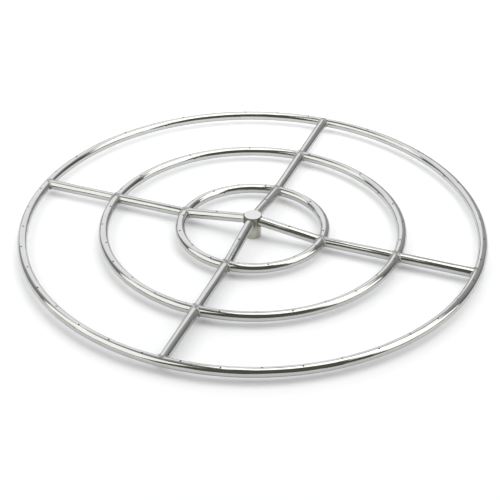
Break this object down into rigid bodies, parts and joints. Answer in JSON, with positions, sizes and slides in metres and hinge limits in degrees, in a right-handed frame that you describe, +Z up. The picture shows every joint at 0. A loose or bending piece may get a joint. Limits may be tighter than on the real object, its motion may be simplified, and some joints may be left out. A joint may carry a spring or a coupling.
{
  "type": "round gas burner",
  "caption": "Round gas burner of concentric tube rings drilled with flame ports, joined by a cross of coped spokes to a hub with a threaded gas inlet below.",
  "frame": {"origin": "middle of the hub's foot, the face that the burner stands on", "axes": "+Z up, square to the plane of the rings; +X and +Y along spokes of the cross"},
  "size_m": [0.9144, 0.9143, 0.0472],
  "materials": {
    "tube": "polished drawn stainless tube",
    "hub": "turned stainless, fine lathe lines",
    "weld": "cleaned weld bead, satin"
  },
  "bodies": {
    "root": {"hub": "hub", "inner_ring": "tube", "middle_ring": "tube", "outer_ring": "tube", "inner_ring_seam_weld": "weld", "middle_ring_seam_weld": "weld", "outer_ring_seam_weld": "weld", "hub_welds": "weld", "inner_ring_inner_welds": "weld", "inner_ring_outer_welds": "weld", "middle_ring_inner_welds": "weld", "middle_ring_outer_welds": "weld", "outer_ring_welds": "weld", "inner_spoke_right": "tube", "inner_spoke_back": "tube", "inner_spoke_left": "tube", "inner_spoke_front": "tube", "middle_spoke_right": "tube", "middle_spoke_back": "tube", "middle_spoke_left": "tube", "middle_spoke_front": "tube", "outer_spoke_right": "tube", "outer_spoke_back": "tube", "outer_spoke_left": "tube", "outer_spoke_front": "tube"}
  },
  "joints": []
}
